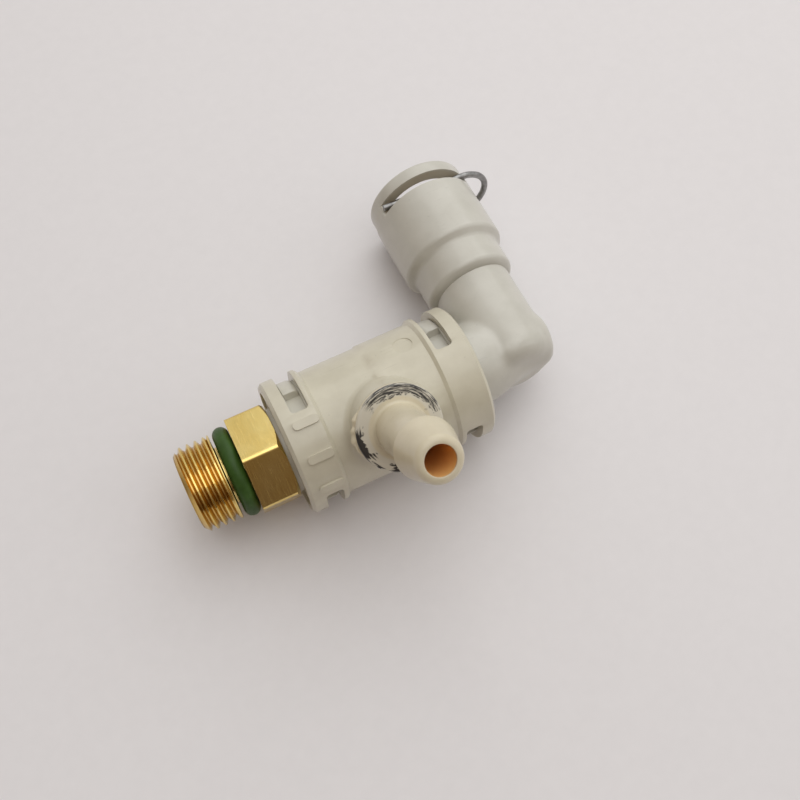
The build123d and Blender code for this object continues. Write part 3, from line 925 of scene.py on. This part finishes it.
def steppedSocket(size):
    socket = turnedShape("Y", [
        (size["armEnd"] - size["slope"], 0),
        (size["armEnd"] - size["slope"], size["armR"] - size["edge"]),
        (size["armEnd"] + size["slope"], size["midR"], size["stepRound"]),
        (size["midEnd"] - size["slope"], size["midR"], size["stepRound"]),
        (size["midEnd"] + size["slope"], size["socketR"], size["stepRound"]),
        (size["slotMiddle"], size["socketR"]),
        (size["slotMiddle"], size["rimR"]),
        (size["rimEnd"], size["rimR"], size["rimRound"]),
        (size["rimEnd"], 0),
    ], steps=size["around"])
    tube = turnedShape("Y", [
        (size["tubeFloor"], 0),
        (size["tubeFloor"], size["tubeR"]),
        (size["entryFloor"], size["tubeR"]),
        (size["entryFloor"], size["entryR"]),
        (size["rimEnd"] - size["tubeLead"], size["entryR"]),
        (size["rimEnd"] + size["tubeLead"], size["entryR"] + 2 * size["tubeLead"]),
        (size["rimEnd"] + size["tubeLead"], 0),
    ], steps=size["boreAround"])
    socket = carved(socket, "DIFFERENCE", tube)
    for side in (-1, 1):
        slotCut = bmesh.new()
        bmesh.ops.create_cube(slotCut, size=1)
        bmesh.ops.scale(slotCut, verts=slotCut.verts,
                        vec=(size["slotLength"], size["slotWidth"], size["socketR"]))
        lift = side * (size["slotFloor"] + size["socketR"] / 2)
        bmesh.ops.translate(slotCut, verts=slotCut.verts, vec=(0, size["slotMiddle"], lift))
        socket = carved(socket, "DIFFERENCE", slotCut)
    return softened(socket, size["edge"], size["sharpest"])


def makeElbow(size, plug):
    reach = armX - barbX
    rows = [(plug["noseStart"], 0)] + plugRows(plug) + [(plug["coreEnd"], 0)]
    solids = [
        turnedShape("X", rows, steps=size["around"]),
        meltedKnuckle(size, plug, reach),
        moved(steppedSocket(size), Matrix.Translation((reach, 0, 0))),
    ]
    bored = [carved(solid, "DIFFERENCE", waterway(size, plug, reach)) for solid in solids]
    whole = joined(*bored, *snapLugs(plug, roll - droop))
    greyWhite = elbowPlastic(greyWhiteLook, size["slotMiddle"], size["slotWidth"], size["socketR"])
    return finishedPiece(whole, "outletElbow", "elbow", "outlet_elbow", greyWhite,
                         inElbow)


makeElbow(elbow, snapPlug)


# wire clip: one leg, the bow, the other leg

wireClip = {
    "wireR": 0.39, "legZ": 3.59, "tailReach": 5.28, "bowReach": 8.49, "around": 16, "bowSteps": 32,
    "tipRound": 0.1, "sharpest": 60,
}


def pushedOut(bm, edges, vector):
    grown = bmesh.ops.extrude_edge_only(bm, edges=edges)["geom"]
    verts = [item for item in grown if isinstance(item, bmesh.types.BMVert)]
    bmesh.ops.translate(bm, verts=verts, vec=vector)
    return [item for item in grown if isinstance(item, bmesh.types.BMEdge) and item.is_boundary]


def makeWireClip(size, station):
    bm = bmesh.new()
    legEndX = size["bowReach"] - size["legZ"]
    leg = Vector((legEndX + size["tailReach"], 0, 0))
    bmesh.ops.create_circle(bm, segments=size["around"], radius=size["wireR"],
                            matrix=Matrix.Translation((-size["tailReach"], station, size["legZ"]))
                            @ Matrix.Rotation(math.pi / 2, 4, "Y"))
    rim = pushedOut(bm, bm.edges[:], leg)
    bow = bmesh.ops.spin(bm, geom=rim, cent=(legEndX, station, 0), axis=(0, 1, 0), dvec=(0, 0, 0),
                         angle=math.pi, steps=size["bowSteps"], use_merge=False, use_duplicate=False)
    pushedOut(bm, [item for item in bow["geom_last"] if isinstance(item, bmesh.types.BMEdge)], -leg)
    closeEnds(bm)
    bmesh.ops.recalc_face_normals(bm, faces=bm.faces)
    softened(bm, size["tipRound"], size["sharpest"])
    return finishedPiece(bm, "wireClip", "clip", "tube_clip", steel, onArm)


makeWireClip(wireClip, elbow["slotMiddle"])


# springs inside, of round wire

ventSpring = {
    "foot": 4.39, "length": 4.08, "coilR": 2.3, "wireR": 0.16, "turns": 5, "stepsPerTurn": 40, "around": 10,
}
checkSpring = {
    "foot": 6.06, "length": 4.3, "coilR": 1.75, "wireR": 0.19, "turns": 5, "stepsPerTurn": 40, "around": 10,
}


def coiledWire(size):
    bm = bmesh.new()
    bmesh.ops.create_circle(bm, segments=size["around"], radius=size["wireR"],
                            matrix=Matrix.Translation((size["coilR"], 0, size["foot"] + size["wireR"]))
                            @ Matrix.Rotation(math.pi / 2, 4, "X"))
    steps = size["stepsPerTurn"] * size["turns"]
    rise = (size["length"] - 2 * size["wireR"]) / steps
    bmesh.ops.spin(bm, geom=bm.verts[:] + bm.edges[:], cent=(0, 0, 0), axis=(0, 0, 1), dvec=(0, 0, rise),
                   angle=size["turns"] * 2 * math.pi, steps=steps, use_merge=False, use_duplicate=False)
    closeEnds(bm)
    bmesh.ops.recalc_face_normals(bm, faces=bm.faces)
    return bm


def makeSpring(size, name, body, node, place):
    # the coil gets a mesh of its own
    spring = finishedPiece(coiledWire(size), name, body, node, steel, place)
    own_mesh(spring)


makeSpring(ventSpring, "ventSpring", "body", "vent_spring", onBarb)
alongElbow = inElbow @ Matrix.Rotation(math.pi / 2, 4, "Y")
makeSpring(checkSpring, "checkSpring", "elbow", "check_spring", alongElbow)


# solids inside that keep their own shape

innerFinishes = {
    "inlet_plug_seal": blackRubber, "elbow_plug_seal": blackRubber, "vent_seal": blackRubber,
    "check_seal": blackRubber, "vent_piston": white, "check_poppet": white,
}
for nodeName, finish in innerFinishes.items():
    solid = frame["nodes"][nodeName]
    solid.data.materials.clear()
    solid.data.materials.append(finish)
print("inner solids finished:", len(innerFinishes))


# floor, light and the photograph's camera

studio = {
    "floorSize": 4.0, "floorTone": (0.77, 0.745, 0.748, 1), "floorRoughness": 0.75, "paperGrain": 700.0,
    "paperDetail": 4, "paperShade": 0.98,
    "brightAir": (1.0, 1.0, 0.99, 1), "dimAir": (1.0, 0.70, 0.50, 1), "brightLevel": 0.70, "dimLevel": 0.12,
    "brightSide": (0.60, 0.47, 0.65), "fadeFrom": -0.22, "fadeTo": 0.5,
    "lensMm": 45.32, "sensorMm": 36, "clipStart": 0.005,
    "cameraPlace": (3.43, -39.75, 103.69), "cameraTurn": (22.977, 0, -25.982),
}
lamps = {
    "topSoftbox": {"place": (0.14, 0.15, 0.20), "aim": (0.02, 0.0, 0.0), "size": 0.28, "watts": 0.19},
    "sideSoftbox": {"place": (0.24, -0.09, 0.13), "aim": (0.02, 0.0, 0.0), "size": 0.22, "watts": 0.045},
    "overSoftbox": {"place": (0.04, -0.02, 0.32), "aim": (0.02, 0.0, 0.0), "size": 0.30, "watts": 0.235},
}


def makeFloor(size):
    bm = bmesh.new()
    bmesh.ops.create_grid(bm, x_segments=1, y_segments=1, size=size["floorSize"] / 2,
                          matrix=Matrix.Translation((0, 0, floorZ)))
    mesh = bpy.data.meshes.new("floor")
    bm.to_mesh(mesh)
    bm.free()
    material, tree, shader, place = newMaterial("paleBoard", size["floorRoughness"])
    grain = noiseNode(tree, place, size["paperGrain"], size["paperDetail"])
    dimmer = shaded(size["floorTone"], size["paperShade"])
    tone = mixNode(tree, rangeNode(tree, grain, *noiseMiddle), dimmer, size["floorTone"])
    tree.links.new(tone, shader.inputs["Base Color"])
    mesh.materials.append(material)
    floor = bpy.data.objects.new("floor", mesh)
    bpy.context.scene.collection.objects.link(floor)


def makeAir(size):
    # a room that is bright overhead and behind, and dim in front
    world = bpy.data.worlds.new("studioAir")
    world.use_nodes = True
    tree = world.node_tree
    air = [node for node in tree.nodes if node.bl_idname == "ShaderNodeBackground"][0]
    facing = tree.nodes.new("ShaderNodeVectorMath")
    facing.operation = "DOT_PRODUCT"
    facing.inputs[1].default_value = Vector(size["brightSide"]).normalized()
    tree.links.new(tree.nodes.new("ShaderNodeTexCoord").outputs["Generated"], facing.inputs[0])
    side = rangeNode(tree, facing.outputs["Value"], size["fadeFrom"], size["fadeTo"])
    tree.links.new(mixNode(tree, side, size["dimAir"], size["brightAir"]), air.inputs["Color"])
    level = rangeNode(tree, side, 0, 1, size["dimLevel"], size["brightLevel"])
    tree.links.new(level, air.inputs["Strength"])
    bpy.context.scene.world = world


def makeLamps():
    for name, lamp in lamps.items():
        light = bpy.data.lights.new(name, "AREA")
        light.shape = "DISK"
        light.size = lamp["size"]
        light.energy = lamp["watts"]
        holder = bpy.data.objects.new(name, light)
        holder.location = lamp["place"]
        aim = Vector(lamp["aim"]) - Vector(lamp["place"])
        holder.rotation_euler = aim.to_track_quat("-Z", "Y").to_euler()
        bpy.context.scene.collection.objects.link(holder)


def makeCamera(size):
    lens = bpy.data.cameras.new("photoCamera")
    lens.lens = size["lensMm"]
    lens.sensor_width = size["sensorMm"]
    lens.clip_start = size["clipStart"]
    camera = bpy.data.objects.new("photoCamera", lens)
    camera.location = Vector(size["cameraPlace"]) * toMetres
    camera.rotation_euler = [math.radians(turn) for turn in size["cameraTurn"]]
    bpy.context.scene.collection.objects.link(camera)
    bpy.context.scene.camera = camera
    bpy.context.scene.view_settings.view_transform = "Standard"


makeFloor(studio)
makeAir(studio)
makeLamps()
makeCamera(studio)
print("studio ready")
